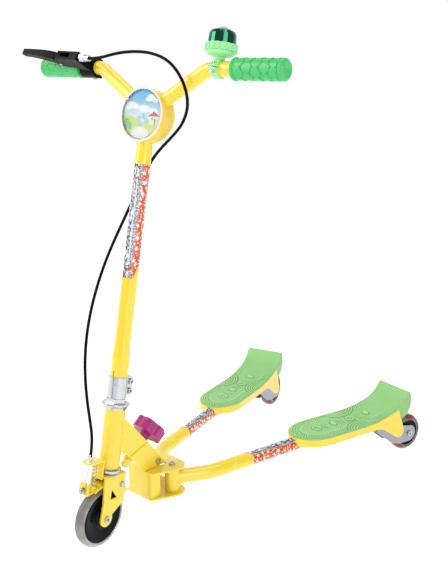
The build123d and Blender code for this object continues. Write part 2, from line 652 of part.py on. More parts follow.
def bracket_void():
    """The room inside the fold bracket. Its upper wall stops short of the bolt, so that it can fold."""
    along = Vector(0, RIDGE_END[0] - SEAM_TOP[0], RIDGE_END[1] - SEAM_TOP[1]).normalized()
    out = Vector(0, -along.Z, along.Y)
    inner_wall = Vector(0, *SEAM_TOP) + along * 3.2 - out * SHEET
    wall_end = Vector(0, *SEAM_TOP) + along * WALL_LENGTH - out * SHEET
    beyond = wall_end + out * 10
    outline = [(inner_wall.Y, inner_wall.Z), (wall_end.Y, wall_end.Z), (beyond.Y, beyond.Z), (150, 105),
               (150, 90),
               (99.7, 90), (61.5, 136.9)]
    w = FOLD_HALF_WIDTH - SHEET
    return side_plate(outline, -w, w)


def fold_bracket():
    """A box, open below and behind, that straddles the yoke's cheeks and turns on the fold bolt."""
    outline = [SEAM_TOP, RIDGE_END, (RIDGE_END[0] - 3, BRACKET_BOTTOM), (87.0, BRACKET_BOTTOM), SEAM_BOTTOM]
    outer = side_plate(outline, -FOLD_HALF_WIDTH, FOLD_HALF_WIDTH)
    boss_hole = rod(on_knob(-80), on_knob(-57), 6.8 + RUNNING)
    return outer - bracket_void() - stud_hole() - boss_hole - cross_rod(*FOLD_PIVOT, -20, 20, 4.0 + RUNNING)


KNOB_AXIS = Vector(0, 0.7826, 0.6225)
KNOB_MIDDLE = Vector(0, 113.7, 165.6)
KNOB_R = 27.0
KNOB_HALF = 10.0


def on_knob(distance):
    """A point on the knob's axis, counted outward from the knob's middle."""
    return tuple(KNOB_MIDDLE + KNOB_AXIS * distance)


def stud_hole():
    return rod(on_knob(-80), on_knob(0), 4.5)


def knob_lug():
    """A threaded boss for the knob's stud, on a plate that closes the bracket from below."""
    boss = rod(on_knob(-75), on_knob(-58), 6.8)
    plane = Plane(origin=on_knob(-58.4), x_dir=(1, 0, 0), z_dir=KNOB_AXIS)
    inner = FOLD_HALF_WIDTH - SHEET
    plate = extrude(plane * Rectangle(2 * inner, 22), 3.0)
    return boss + (plate & bracket_void()) - rod(on_knob(-76), on_knob(-50), 4.0 + RUNNING)


def knob():
    """A chunky star knob with six lobes and a hub."""
    lobes = 6
    plane = Plane(origin=on_knob(-KNOB_HALF), x_dir=(1, 0, 0), z_dir=KNOB_AXIS)
    shape = extrude(plane * Circle(KNOB_R), 2 * KNOB_HALF)
    for i in range(lobes):
        angle = 2 * pi * (i + 0.5) / lobes
        notch = plane * Pos((KNOB_R + 8.5) * cos(angle), (KNOB_R + 8.5) * sin(angle)) * Circle(12.0)
        shape -= extrude(notch, 2 * KNOB_HALF)
    shape += rod(on_knob(-20.7), on_knob(-KNOB_HALF), 8.5)
    return shape - rod(on_knob(-21), on_knob(0), 4.0)


def knob_stud():
    return rod(on_knob(-77), on_knob(0), 4.0)


# yoke, the root

def yoke_outline():
    """The shape of the yoke's upper and lower plates, seen from above."""
    w = YOKE_HALF_WIDTH
    front = Polyline((-w, YOKE_FRONT + 16), (-w, YOKE_FRONT), (w, YOKE_FRONT), (w, YOKE_FRONT + 16),
                     close=True)
    px, py = LEG_PIVOT
    rear = Pos(0, 133.0) * Circle(29.0).edge()
    left = Pos(px, py) * Circle(EAR_R).edge()
    right = Pos(-px, py) * Circle(EAR_R).edge()
    return make_hull([*front.edges(), rear, left, right])


def yoke():
    w = YOKE_HALF_WIDTH
    t = YOKE_PLATE
    px, py = LEG_PIVOT
    outline = yoke_outline()
    bottom = Pos(0, 0, YOKE_BOTTOM) * extrude(outline, t)
    top = Pos(0, 0, YOKE_TOP - t) * extrude(outline, t)
    top -= block((-17.2, 104.0, YOKE_TOP - t - 1), (17.2, 137.5, YOKE_TOP + 1))
    outside = block((-w, YOKE_FRONT, YOKE_BOTTOM), (w, YOKE_FRONT + 50, YOKE_TOP))
    outside = fillet(outside.edges().filter_by(Axis.Z).sort_by(Axis.Y)[:2], YOKE_BEND_R)
    inside = block((t - w, YOKE_FRONT + t, YOKE_BOTTOM - 1), (w - t, YOKE_FRONT + 60, YOKE_TOP + 1))
    inside = fillet(inside.edges().filter_by(Axis.Z).sort_by(Axis.Y)[:2], YOKE_BEND_R - t)
    walls = (outside - inside) & block((-w, 0, 0), (w, YOKE_FRONT + 20.8, 200))
    x, y = w - YOKE_BEND_R, YOKE_FRONT + YOKE_BEND_R
    corner = block((x, YOKE_FRONT, YOKE_TOP - 10), (w + 1, y, YOKE_TOP + 5)) - rod((x, y, 0), (x, y, 200),
                                                                                   YOKE_BEND_R)
    top -= corner + mirrored(corner)
    shape = bottom + top + walls
    y, z = FOLD_PIVOT
    for side in (-1, 1):
        x_low, x_high = sorted((side * 10.0, side * (FOLD_HALF_WIDTH - SHEET - GAP)))
        cheek = side_plate([(YOKE_FRONT + 1, YOKE_BOTTOM + 1), (YOKE_FRONT + 1, YOKE_TOP - 3),
                            (y - CHEEK_R, z),
                            (y + CHEEK_R, z), (y + CHEEK_R, YOKE_BOTTOM + 1)], x_low, x_high)
        shape += cheek + cross_rod(y, z, x_low, x_high, CHEEK_R)
    shape -= cross_rod(y, z, -20, 20, 4.0)
    for side in (-1, 1):
        shape -= rod((side * px, py, YOKE_BOTTOM - 1), (side * px, py, YOKE_TOP + 1), 4.0)
    return shape


def fold_pivot_bolt():
    w = FOLD_HALF_WIDTH + GAP
    shank = cross_rod(*FOLD_PIVOT, -w - 6, w, 4.0)
    head = cross_rod(*FOLD_PIVOT, w, w + 3.2, 5.2) - hex_prism((w + 1.4, *FOLD_PIVOT), (w + 4, *FOLD_PIVOT),
                                                               4.0)
    nut = hex_prism((-w - 5.5, *FOLD_PIVOT), (-w, *FOLD_PIVOT), 11.0)
    return shank + head + nut


def leg_pivot_bolts():
    bolts = []
    for side in (-1, 1):
        x = side * LEG_PIVOT[0]
        y = LEG_PIVOT[1]
        shank = rod((x, y, YOKE_BOTTOM - 5), (x, y, YOKE_TOP), 4.0)
        head = rod((x, y, YOKE_TOP), (x, y, YOKE_TOP + 3.4), 5.6)
        head -= hex_prism((x, y, YOKE_TOP + 1.4), (x, y, YOKE_TOP + 4), 4.5)
        nut = hex_prism((x, y, YOKE_BOTTOM - 4.5), (x, y, YOKE_BOTTOM), 12.0)
        bolts.append(shank + head + nut)
    return Compound(bolts)


# legs, decks and casters, for the rider's left; the right side is the mirror image

def leg():
    """The sleeve on the yoke's pivot bolt and the bent tube that carries the deck."""
    px, py = LEG_PIVOT
    low = YOKE_BOTTOM + YOKE_PLATE + GAP
    high = YOKE_TOP - YOKE_PLATE - GAP
    ahead = (sin(radians(DECK_SPLAY)), cos(radians(DECK_SPLAY)))

    def on_deck_line(y, z):
        return (DECK_ORIGIN[0] + ahead[0] * y, DECK_ORIGIN[1] + ahead[1] * y, z)

    points = [(px, py, LEG_HEIGHT), (*LEG_CORNER, LEG_HEIGHT), on_deck_line(-240, TUBE_UNDER_DECK),
              on_deck_line(-95, TUBE_UNDER_DECK)]
    path = FilletPolyline(*points, radius=[120, 300])
    outer = swept(path, LEG_R)
    hollow = swept(path, LEG_R - TUBE_WALL)
    sleeve = rod((px, py, low), (px, py, high), SLEEVE_R)
    shape = (outer - hollow) + sleeve
    return shape - rod((px, py, low - 1), (px, py, high + 1), 4.0 + RUNNING)


def deck_plan(margin):
    """The deck's outline from above, brought in by a margin."""
    front = DECK_FRONT + margin
    half = DECK_HALF_WIDTH - margin
    tail = TAIL_HALF_WIDTH - margin
    nose = 60.0
    start = front + nose
    sides = Spline((half, start), (half, start + 60), (tail, -27), tangents=[(0, 1), (-0.02, 1)])
    other = Spline((-half, start), (-half, start + 60), (-tail, -27), tangents=[(0, 1), (0.02, 1)])
    rear = Polyline((tail, -27), (tail, 12), (-tail, 12), (-tail, -27))
    body = make_face(Line((-half, start), (half, start)) + sides + rear + other)
    return body + Pos(0, start) * Ellipse(half, nose)


def deck_curve(drop):
    """The deck's top line from the side where it sweeps up towards the tail."""
    return Spline((-130, DECK_TOP - drop), (-78, DECK_TOP + 2.9 - drop), (-50, DECK_TOP + 8.6 - drop),
                  (-27, DECK_TOP + 16.0 - drop), tangents=[(1, 0), (0.90, 0.44)])


SIDE_VIEW = Plane(origin=(0, 0, 0), x_dir=(0, 1, 0), z_dir=(1, 0, 0))


def deck_side(drop, outline):
    """A body with the deck's top line, its side view closed by an outline of (y, z) points."""
    top = DECK_TOP - drop
    ahead = DECK_FRONT - 2
    sweep_up = deck_curve(drop)
    end = sweep_up @ 1
    rest = Polyline((end.X, end.Y), *outline, (ahead, outline[-1][1]), (ahead, top))
    face = make_face(Line((ahead, top), (-130, top)) + sweep_up + rest)
    return extrude(SIDE_VIEW * face, 60, both=True)


def deck_void():
    """The space under the deck's sheet."""
    return deck_side(DECK_SHEET, [(20, 112), (20, 30)]) & extrude(deck_plan(DECK_SHEET), 200)


def deck():
    """A pressed steel tray, open below, with two ears that flank the caster."""
    ear = [(-11.0, 66.0), (-14.0, 57.5), (-22.0, 53.0), (-30.0, 55.0), (-66.0, 79.5), (-80.0, SKIRT_BOTTOM)]
    body = deck_side(0, ear) & extrude(deck_plan(0), 200)
    tube = rod((0, DECK_FRONT - 20, TUBE_UNDER_DECK), (0, -94, TUBE_UNDER_DECK), LEG_R + 0.05)
    return body - deck_void() - tube


def pad():
    """The rubber foot pad: thin over the deck, and swept up into a thick tail."""
    top = DECK_TOP + PAD_THICKNESS
    ahead = DECK_FRONT - 2
    rise = Spline((-130, top), (-78, top + 2.7), (-50, top + 8.8), (-27, top + 17.0), (-12, top + 29), (-1.5,
                                                                                                        TAIL_TOP - 1),
                  tangents=[(1, 0), (0.62, 0.78)])
    crest = ThreePointArc((-1.5, TAIL_TOP - 1), (0.4, TAIL_TOP), (1.8, TAIL_TOP - 1.2))
    back = ThreePointArc((1.8, TAIL_TOP - 1.2), (5.2, 118.0), (-13.5, 93.0))
    sweep_up = deck_curve(0)
    end = sweep_up @ 1
    hook = Polyline((-13.5, 93.0), (-19.4, 93.0), (end.X, end.Y))
    under = Line((-130, DECK_TOP), (ahead, DECK_TOP)) + Line((ahead, DECK_TOP), (ahead, top))
    face = make_face(Line((ahead, top), (-130, top)) + rise + crest + back + hook + sweep_up + under)
    return extrude(SIDE_VIEW * face, 60, both=True) & extrude(deck_plan(PAD_MARGIN), 200)


def caster_mount():
    """The wedge under the deck with its bearing race, and the kingpin pressed into it."""
    wedge = (CASTER * rod((0, 0, 7.0), (0, 0, 60), 17.0)) & deck_void()
    race = CASTER * rod((0, 0, GAP), (0, 0, 7.0), 15.0)
    pin = CASTER * (rod((0, 0, -8.0), (0, 0, GAP), KINGPIN_R) + hex_prism((0, 0, -9.0),
                                                                          (0, 0, -CASTER_PLATE - GAP), 11.0))
    return wedge + race + pin


def caster_fork():
    """Two side plates and a top plate, tilted with the swivel axis, and the axle bolt."""
    lobe = 17.0
    w = CASTER_INSIDE + CASTER_PLATE
    lean = radians(CASTER_LEAN)

    def on_plate(along, up=0.0):
        y = CASTER_POINT[0] + along * cos(lean) - up * sin(lean)
        z = CASTER_POINT[1] + along * sin(lean) + up * cos(lean)
        return (y, z)

    outline = [on_plate(-22), (-14.0, 27.5), (8.0, 20.6), (REAR_AXLE_Y, REAR_R - lobe), (REAR_AXLE_Y,
                                                                                         REAR_R + lobe),
               (18.0, 58.0), on_plate(21)]
    side = side_plate(outline, CASTER_INSIDE, w) + cross_rod(REAR_AXLE_Y, REAR_R, CASTER_INSIDE, w, lobe)
    base = CASTER * block((-w, -22, -CASTER_PLATE), (w, 21, 0))
    shape = side + mirrored(side) + base
    shape -= CASTER * rod((0, 0, -CASTER_PLATE - 1), (0, 0, 1), KINGPIN_R + RUNNING)
    return shape - cross_rod(REAR_AXLE_Y, REAR_R, -20, 20, AXLE_BOLT_R)


def rear_axle_bolt():
    w = CASTER_INSIDE + CASTER_PLATE
    shank = cross_rod(REAR_AXLE_Y, REAR_R, -w - 4.5, w, AXLE_BOLT_R)
    head = cross_rod(REAR_AXLE_Y, REAR_R, w, w + 3.0, 5.6)
    head -= hex_prism((w + 1.2, REAR_AXLE_Y, REAR_R), (w + 4, REAR_AXLE_Y, REAR_R), 4.5)
    nut = hex_prism((-w - 4.0, REAR_AXLE_Y, REAR_R), (-w, REAR_AXLE_Y, REAR_R), 12.0)
    spacers = cross_rod(REAR_AXLE_Y, REAR_R, REAR_HALF_WIDTH + GAP, CASTER_INSIDE, 6.5)
    return shank + head + nut + spacers + mirrored(spacers)


def rear_wheel_core():
    h = REAR_HALF_WIDTH
    half = [(AXLE_BOLT_R + RUNNING, h - 0.5), (8.0, h), (12.0, h), (13.0, h - 2.0), (23.0, h - 3.0), (26.5,
                                                                                                      h - 1.5),
            (26.5, h - 4.0), (25.0, h - 6.0)]
    profile = half + [(r, -x) for r, x in reversed(half)]
    return wheel_turned(profile, REAR_AXLE_Y, REAR_R)


def rear_tyre():
    h = REAR_HALF_WIDTH
    half = [(25.0, h - 6.0), (26.5, h - 4.0), (26.5, h - 1.5), (30.0, h - 0.6), (33.5, h - 1.6), (36.0,
                                                                                                  h - 4.6), (37.2, h - 8.4),
            (REAR_R, h - 11.2)]
    profile = half + [(r, -x) for r, x in reversed(half)]
    return wheel_turned(profile, REAR_AXLE_Y, REAR_R)


# assembly

def add(name, shape, place=None):
    nodes[name] = shape if place is None else place * shape


def add_pair(name, shape):
    """A left part, in the frame of the whole scooter, and its mirror image on the right."""
    add(name + "_left", shape)
    add(name + "_right", mirrored(shape))


def build():
    for maker in (fork, headset_cones, clamp_collar, clamp_bolts, stem, picture_housing, picture_disc,
                  clear_cover, cover_clips, bell_base, bell_ring, bell_dome, bell_cap, bar_screws, lever_housing,
                  brake_lever, cable_adjuster, brake_cable, cable_fittings, brake_bracket, brake_spring, brake_pivot_bolt, front_axle_bolt, brake_arm, brake_pad, pinch_bolt, brake_wire,
                  front_wheel_core, front_tyre, front_bearings):
        add(maker.__name__, maker(), STEERING)
    add("bar_arm_left", bar_arm(1), STEERING)
    add("bar_arm_right", bar_arm(-1), STEERING)
    add("grip_left", grip(), STEERING)
    add("grip_right", mirrored(grip()), STEERING)
    for maker in (headset_cups, head_tube, gusset, fold_bracket, knob_lug, knob, knob_stud, yoke,
                  fold_pivot_bolt,
                  leg_pivot_bolts):
        add(maker.__name__, maker())
    add_pair("leg", leg())
    for maker in (deck, pad, caster_mount, caster_fork, rear_axle_bolt, rear_wheel_core, rear_tyre):
        add_pair(maker.__name__, DECK * maker())


def centred(shapes):
    """Move everything so that the origin is the middle of the bottom of the whole box."""
    boxes = [s.bounding_box() for s in shapes.values()]
    low = [min(getattr(b.min, k) for b in boxes) for k in "XYZ"]
    high = [max(getattr(b.max, k) for b in boxes) for k in "XYZ"]
    shift = (-(low[0] + high[0]) / 2, -(low[1] + high[1]) / 2, -low[2])
    print("shift to the origin", [round(s, 3) for s in shift], "size", [round(high[i] - low[i],
                                                                              1) for i in range(3)])
    return {name: Pos(*shift) * shape for name, shape in shapes.items()}


build()
nodes = centred(nodes)
os.makedirs("parts", exist_ok=True)
for name, shape in nodes.items():
    export_step(shape, "parts/" + name + ".step")
print(len(nodes), "nodes")
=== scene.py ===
import math

import bmesh
import bpy
from mathutils import Matrix, Vector


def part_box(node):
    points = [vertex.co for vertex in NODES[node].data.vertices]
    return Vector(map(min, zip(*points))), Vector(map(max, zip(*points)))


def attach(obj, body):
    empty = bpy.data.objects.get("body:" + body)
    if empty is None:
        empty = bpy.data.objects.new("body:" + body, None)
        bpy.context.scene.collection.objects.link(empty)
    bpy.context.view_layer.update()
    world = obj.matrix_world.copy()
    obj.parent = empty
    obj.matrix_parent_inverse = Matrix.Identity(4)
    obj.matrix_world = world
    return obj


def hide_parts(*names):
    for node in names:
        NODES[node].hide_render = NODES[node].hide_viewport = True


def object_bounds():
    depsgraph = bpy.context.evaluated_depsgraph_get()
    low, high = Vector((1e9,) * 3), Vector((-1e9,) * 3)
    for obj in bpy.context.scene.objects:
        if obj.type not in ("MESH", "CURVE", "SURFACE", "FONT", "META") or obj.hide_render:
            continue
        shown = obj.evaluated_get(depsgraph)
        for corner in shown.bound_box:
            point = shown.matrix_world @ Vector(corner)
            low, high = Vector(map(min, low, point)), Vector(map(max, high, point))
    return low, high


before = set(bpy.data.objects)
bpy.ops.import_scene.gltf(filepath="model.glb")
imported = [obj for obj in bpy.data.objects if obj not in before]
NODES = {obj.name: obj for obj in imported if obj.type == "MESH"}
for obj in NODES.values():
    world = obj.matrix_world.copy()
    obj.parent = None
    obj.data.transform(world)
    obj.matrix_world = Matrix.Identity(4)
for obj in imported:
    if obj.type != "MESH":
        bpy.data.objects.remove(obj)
cad_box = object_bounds()
MM = 0.001

# ---------------------------------------------------------------- frames
# All sizes below are in millimetres, in three frames: the scooter's own (origin on the ground under
# the front axle), the steering frame (z up the leaning steering axis) and each deck's frame.
tyre_low, tyre_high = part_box("front_tyre")
GROUND = (tyre_low + tyre_high) / 2 - Vector((0, 0, 0.05))
LEAN = 10.42                # degrees that the steering axis leans back
TRAIL = 10.1                # the axis passes this far behind the front axle
STEER = 7.2                 # degrees that the handlebar is turned at rest
AXLE_HEIGHT = 50.0
STEERING = Matrix.Translation(GROUND + Vector((0, TRAIL, AXLE_HEIGHT)) * MM) @ (
    Matrix.Rotation(math.radians(-LEAN), 4, "X") @ Matrix.Rotation(math.radians(STEER), 4, "Z"))
BAR_HEIGHT = 720.5          # the handlebar, up the steering axis
DISC_HEIGHT = 647.2         # the picture's middle, up the steering axis
LEVER_TILT = 19.0
LEVER_DROOP = 2.7
LEVER_MIDDLE = -220.0
CABLE_R = 2.4
TUBE_R = 12.7               # the stem and the legs
LEG_HEIGHT = 82.0           # a leg's middle line under its deck
DECK_X, DECK_Y = 170.2, 626.8
DECK_TURN = 14.0
REAR_AXLE_Y, REAR_AXLE_Z = 34.5, 37.5    # in a deck's frame


def deck_frame(side):
    turn = Matrix.Rotation(math.radians(-DECK_TURN * side), 4, "Z")
    return Matrix.Translation(GROUND + Vector((side * DECK_X, DECK_Y, 0)) * MM) @ turn


def at(matrix, x, y, z):
    return matrix @ (Vector((x, y, z)) * MM)


# ---------------------------------------------------------------- camera, light, floor

CAMERA_PLACE = (947.67, -730.27, 724.85)
CAMERA_AZIMUTH, CAMERA_ELEVATION = 42.58, 13.56
SENSOR = 36.0
LENS = 50.7302


def link(obj):
    bpy.context.scene.collection.objects.link(obj)


def make_camera():
    data = bpy.data.cameras.new("camera")
    cam = bpy.data.objects.new("camera", data)
    link(cam)
    azimuth, elevation = math.radians(CAMERA_AZIMUTH), math.radians(CAMERA_ELEVATION)
    level = math.cos(elevation)
    back = Vector((math.sin(azimuth) * level, -math.cos(azimuth) * level, math.sin(elevation)))
    cam.location = GROUND + Vector(CAMERA_PLACE) * MM
    cam.rotation_euler = back.to_track_quat("Z", "Y").to_euler()
    data.sensor_fit = "AUTO"
    data.sensor_width = SENSOR
    data.lens = LENS
    data.clip_end = 60
    bpy.context.scene.camera = cam


def area(name, place, target, size, watts):
    light = bpy.data.lights.new(name, "AREA")
    light.shape = "RECTANGLE"
    light.size, light.size_y = size
    light.energy = watts
    obj = bpy.data.objects.new(name, light)
    link(obj)
    obj.location = place
    obj.rotation_euler = (Vector(place) - Vector(target)).to_track_quat("Z", "Y").to_euler()


def make_world():
    """A white room that is dimmer on one side, so round parts show their shape."""
    bright_side = (-0.6577, 0.7158, -0.2345)
    world = bpy.data.worlds.new("studio")
    bpy.context.scene.world = world
    world.use_nodes = True
    tree = world.node_tree
    coords = tree.nodes.new("ShaderNodeTexCoord")
    dot = tree.nodes.new("ShaderNodeVectorMath")
    dot.operation = "DOT_PRODUCT"
    dot.inputs[1].default_value = bright_side
    tree.links.new(coords.outputs["Generated"], dot.inputs[0])
    spread = tree.nodes.new("ShaderNodeMapRange")
    spread.interpolation_type = "SMOOTHSTEP"
    spread.inputs["From Min"].default_value = -0.1
    spread.inputs["From Max"].default_value = 0.75
    spread.inputs["To Min"].default_value = 0.30
    spread.inputs["To Max"].default_value = 1.0
    tree.links.new(dot.outputs["Value"], spread.inputs["Value"])
    tree.nodes["Background"].inputs[0].default_value = (1.0, 1.0, 1.0, 1)
    tree.links.new(spread.outputs["Result"], tree.nodes["Background"].inputs[1])


def make_floor():
    """A pale floor that also glows, so that it is as white as the room."""
    reach = 14.0
    mesh = bpy.data.meshes.new("floor")
    corners = [(-reach, -reach, 0), (reach, -reach, 0), (reach, reach, 0), (-reach, reach, 0)]
    mesh.from_pydata(corners, [], [(0, 1, 2, 3)])
    floor = bpy.data.objects.new("floor", mesh)
    link(floor)
    floor.location.z = -0.0005
    mat = bpy.data.materials.new("floor_white")
    mat.use_nodes = True
    shader = mat.node_tree.nodes["Principled BSDF"]
    shader.inputs["Base Color"].default_value = (0.40, 0.40, 0.40, 1)
    shader.inputs["Roughness"].default_value = 0.8
    shader.inputs["Specular IOR Level"].default_value = 0.1
    shader.inputs["Emission Color"].default_value = (1, 1, 1, 1)
    shader.inputs["Emission Strength"].default_value = 0.86
    mesh.materials.append(mat)


def make_studio():
    middle = (cad_box[0] + cad_box[1]) / 2
    area("key", (-1.5, -1.8, 1.8), middle, (1.5, 2.2), 46)
    area("side", (2.2, -0.9, 1.3), middle, (1.3, 2.2), 26)
    area("top", (0.3, 0.2, 2.9), middle, (1.6, 1.6), 22)
    make_world()
    make_floor()
    bpy.context.scene.view_settings.view_transform = "Standard"


# ---------------------------------------------------------------- node arithmetic

class Value:
    """A socket that can be added, multiplied and compared like a number."""

    def __init__(self, tree, socket):
        self.tree = tree
        self.socket = socket

    def op(self, operation, *others):
        node = self.tree.nodes.new("ShaderNodeMath")
        node.operation = operation
        self.tree.links.new(self.socket, node.inputs[0])
        for i, other in enumerate(others):
            if isinstance(other, Value):
                self.tree.links.new(other.socket, node.inputs[i + 1])
            else:
                node.inputs[i + 1].default_value = other
        return Value(self.tree, node.outputs[0])

    def __add__(self, o):
        return self.op("ADD", o)

    def __sub__(self, o):
        return self.op("SUBTRACT", o)

    def __mul__(self, o):
        return self.op("MULTIPLY", o)

    def __lt__(self, o):
        return self.op("LESS_THAN", o)

    def __gt__(self, o):
        return self.op("GREATER_THAN", o)

    def abs(self):
        return self.op("ABSOLUTE")

    def min(self, o):
        return self.op("MINIMUM", o)

    def max(self, o):
        return self.op("MAXIMUM", o)

    def inverted(self):
        return self * -1.0 + 1.0


class Mat:
    """A material with one Principled shader and short ways to build its pattern."""

    def __init__(self, name, colour, rough=0.4, metal=0.0, coat=0.0, spec=0.5, **more):
        self.mat = bpy.data.materials.new(name)
        self.mat.use_nodes = True
        self.tree = self.mat.node_tree
        self.shader = self.tree.nodes["Principled BSDF"]
        self.set("Base Color", (*colour, 1))
        self.set("Roughness", rough)
        self.set("Metallic", metal)
        self.set("Coat Weight", coat)
        self.set("Coat Roughness", 0.08)
        self.set("Specular IOR Level", spec)
        for key, value in more.items():
            self.set(key.replace("_", " "), value)
        coords = self.tree.nodes.new("ShaderNodeTexCoord")
        self.object_coords = coords.outputs["Object"]
        self.colour = None

    def set(self, name, value):
        self.shader.inputs[name].default_value = value

    def local(self, matrix):
        """The point in millimetres in a frame, as a vector socket and three values."""
        axes = matrix.to_3x3()
        shift = self.tree.nodes.new("ShaderNodeVectorMath")
        shift.operation = "SUBTRACT"
        self.tree.links.new(self.object_coords, shift.inputs[0])
        shift.inputs[1].default_value = matrix.translation
        join = self.tree.nodes.new("ShaderNodeCombineXYZ")
        parts = []
        for i in range(3):
            dot = self.tree.nodes.new("ShaderNodeVectorMath")
            dot.operation = "DOT_PRODUCT"
            self.tree.links.new(shift.outputs[0], dot.inputs[0])
            dot.inputs[1].default_value = axes.col[i] / MM
            self.tree.links.new(dot.outputs["Value"], join.inputs[i])
            parts.append(Value(self.tree, dot.outputs["Value"]))
        return join.outputs[0], parts

    def join(self, *parts):
        node = self.tree.nodes.new("ShaderNodeCombineXYZ")
        for i, part in enumerate(parts):
            if isinstance(part, Value):
                self.tree.links.new(part.socket, node.inputs[i])
            else:
                node.inputs[i].default_value = part
        return node.outputs[0]

    def noise(self, scale, detail=2.0, vector=None, rough=0.5):
        node = self.tree.nodes.new("ShaderNodeTexNoise")
        self.tree.links.new(vector or self.object_coords, node.inputs["Vector"])
        node.inputs["Scale"].default_value = scale
        node.inputs["Detail"].default_value = detail
        node.inputs["Roughness"].default_value = rough
        return Value(self.tree, node.outputs["Fac"])

    def smooth(self, value, low, high, to_low=0.0, to_high=1.0):
        node = self.tree.nodes.new("ShaderNodeMapRange")
        node.interpolation_type = "SMOOTHSTEP"
        self.tree.links.new(value.socket, node.inputs["Value"])
        node.inputs["From Min"].default_value = low
        node.inputs["From Max"].default_value = high
        node.inputs["To Min"].default_value = to_low
        node.inputs["To Max"].default_value = to_high
        return Value(self.tree, node.outputs["Result"])

    def mix(self, factor, a, b):
        node = self.tree.nodes.new("ShaderNodeMix")
        node.data_type = "RGBA"
        if isinstance(factor, Value):
            self.tree.links.new(factor.socket, node.inputs["Factor"])
        else:
            node.inputs["Factor"].default_value = factor
        for socket, value in ((node.inputs[6], a), (node.inputs[7], b)):
            if isinstance(value, tuple):
                socket.default_value = (*value[:3], 1)
            else:
                self.tree.links.new(value, socket)
        return node.outputs[2]

    def paint(self, colour):
        self.tree.links.new(colour, self.shader.inputs["Base Color"])
        self.colour = colour

    def vary(self, colour, amount=0.06, scale=60):
        """A faint, large blotchiness in the colour."""
        dark = tuple(c * (1 - amount) for c in colour)
        light = tuple(min(1.0, c * (1 + amount)) for c in colour)
        self.paint(self.mix(self.noise(scale, 3.0), dark, light))

    def roughness(self, value):
        self.tree.links.new(value.socket, self.shader.inputs["Roughness"])

    def bump(self, height, distance, strength=1.0):
        node = self.tree.nodes.new("ShaderNodeBump")
        node.inputs["Distance"].default_value = distance * MM
        node.inputs["Strength"].default_value = strength
        self.tree.links.new(height.socket, node.inputs["Height"])
        self.tree.links.new(node.outputs[0], self.shader.inputs["Normal"])


YELLOW = (0.91, 0.68, 0.040)


def enamel(name, colour, rough=0.22, coat=0.55):
    mat = Mat(name, colour, rough=rough, coat=coat)
    mat.vary(colour, 0.035, 45)
    mat.bump(mat.noise(110, 2.0), 0.02, 0.3)
    mat.roughness(mat.smooth(mat.noise(80, 4.0), 0.3, 0.7, rough - 0.03, rough + 0.06))
    return mat


def plated(name, colour, rough=0.16):
    mat = Mat(name, colour, rough=rough, metal=1.0)
    mat.vary(colour, 0.07, 140)
    smoothest = max(0.04, rough - 0.06)
    mat.roughness(mat.smooth(mat.noise(260, 5.0), 0.3, 0.75, smoothest, rough + 0.12))
    mat.bump(mat.noise(900, 3.0), 0.02, 0.5)
    return mat


def moulded(name, colour, rough=0.35, grain=0.05, **more):
    mat = Mat(name, colour, rough=rough, **more)
    mat.vary(colour, 0.05, 50)
    mat.bump(mat.noise(160, 2.0), grain, 0.3)
    mat.roughness(mat.smooth(mat.noise(120, 4.0), 0.3, 0.7, rough - 0.05, rough + 0.08))
    return mat


def star_mask(mat, vector, scale, radius, seed):
    """White where a five-pointed star lies round each cell's point."""
    cells = mat.tree.nodes.new("ShaderNodeTexVoronoi")
    cells.inputs["Scale"].default_value = scale
    cells.inputs["Randomness"].default_value = 0.75
    moved = mat.tree.nodes.new("ShaderNodeVectorMath")
    moved.operation = "ADD"
    moved.inputs[1].default_value = (seed * 13.7, seed * 7.3, 0)
    mat.tree.links.new(vector, moved.inputs[0])
    mat.tree.links.new(moved.outputs[0], cells.inputs["Vector"])
    away = mat.tree.nodes.new("ShaderNodeVectorMath")
    away.operation = "SUBTRACT"
    mat.tree.links.new(moved.outputs[0], away.inputs[0])
    mat.tree.links.new(cells.outputs["Position"], away.inputs[1])
    split = mat.tree.nodes.new("ShaderNodeSeparateXYZ")
    mat.tree.links.new(away.outputs[0], split.inputs[0])
    x, y = Value(mat.tree, split.outputs[0]), Value(mat.tree, split.outputs[1])
    tint = mat.tree.nodes.new("ShaderNodeSeparateColor")
    mat.tree.links.new(cells.outputs["Color"], tint.inputs[0])
    pick, turn = Value(mat.tree, tint.outputs[0]), Value(mat.tree, tint.outputs[1])
    size = (pick * 0.5 + 0.6) * radius
    fifth = math.pi / 5
    angle = y.op("ARCTAN2", x) + turn * 6.0 + 4 * math.pi
    from_point = (angle.op("MODULO", 2 * fifth) - fifth).abs() * -1.0 + fifth
    rho = (x * x + y * y).op("SQRT")
    inner = 0.45
    ex, ey = inner * math.cos(fifth) - 1.0, inner * math.sin(fifth)
    px, py = rho * from_point.op("COSINE"), rho * from_point.op("SINE")
    edge = (px - size) * ey - py * ex
    return edge < 0.0


def wrap_coords(mat, matrix, radius, facing):
    """Around and along a tube, in millimetres. facing is the angle, in degrees from -y towards +x,
    that counts as 0."""
    _, (x, y, z) = mat.local(matrix)
    angle = x.op("ARCTAN2", y * -1.0) - math.radians(facing)
    angle = (angle + 3 * math.pi).op("MODULO", 2 * math.pi) - math.pi
    return angle * radius, z


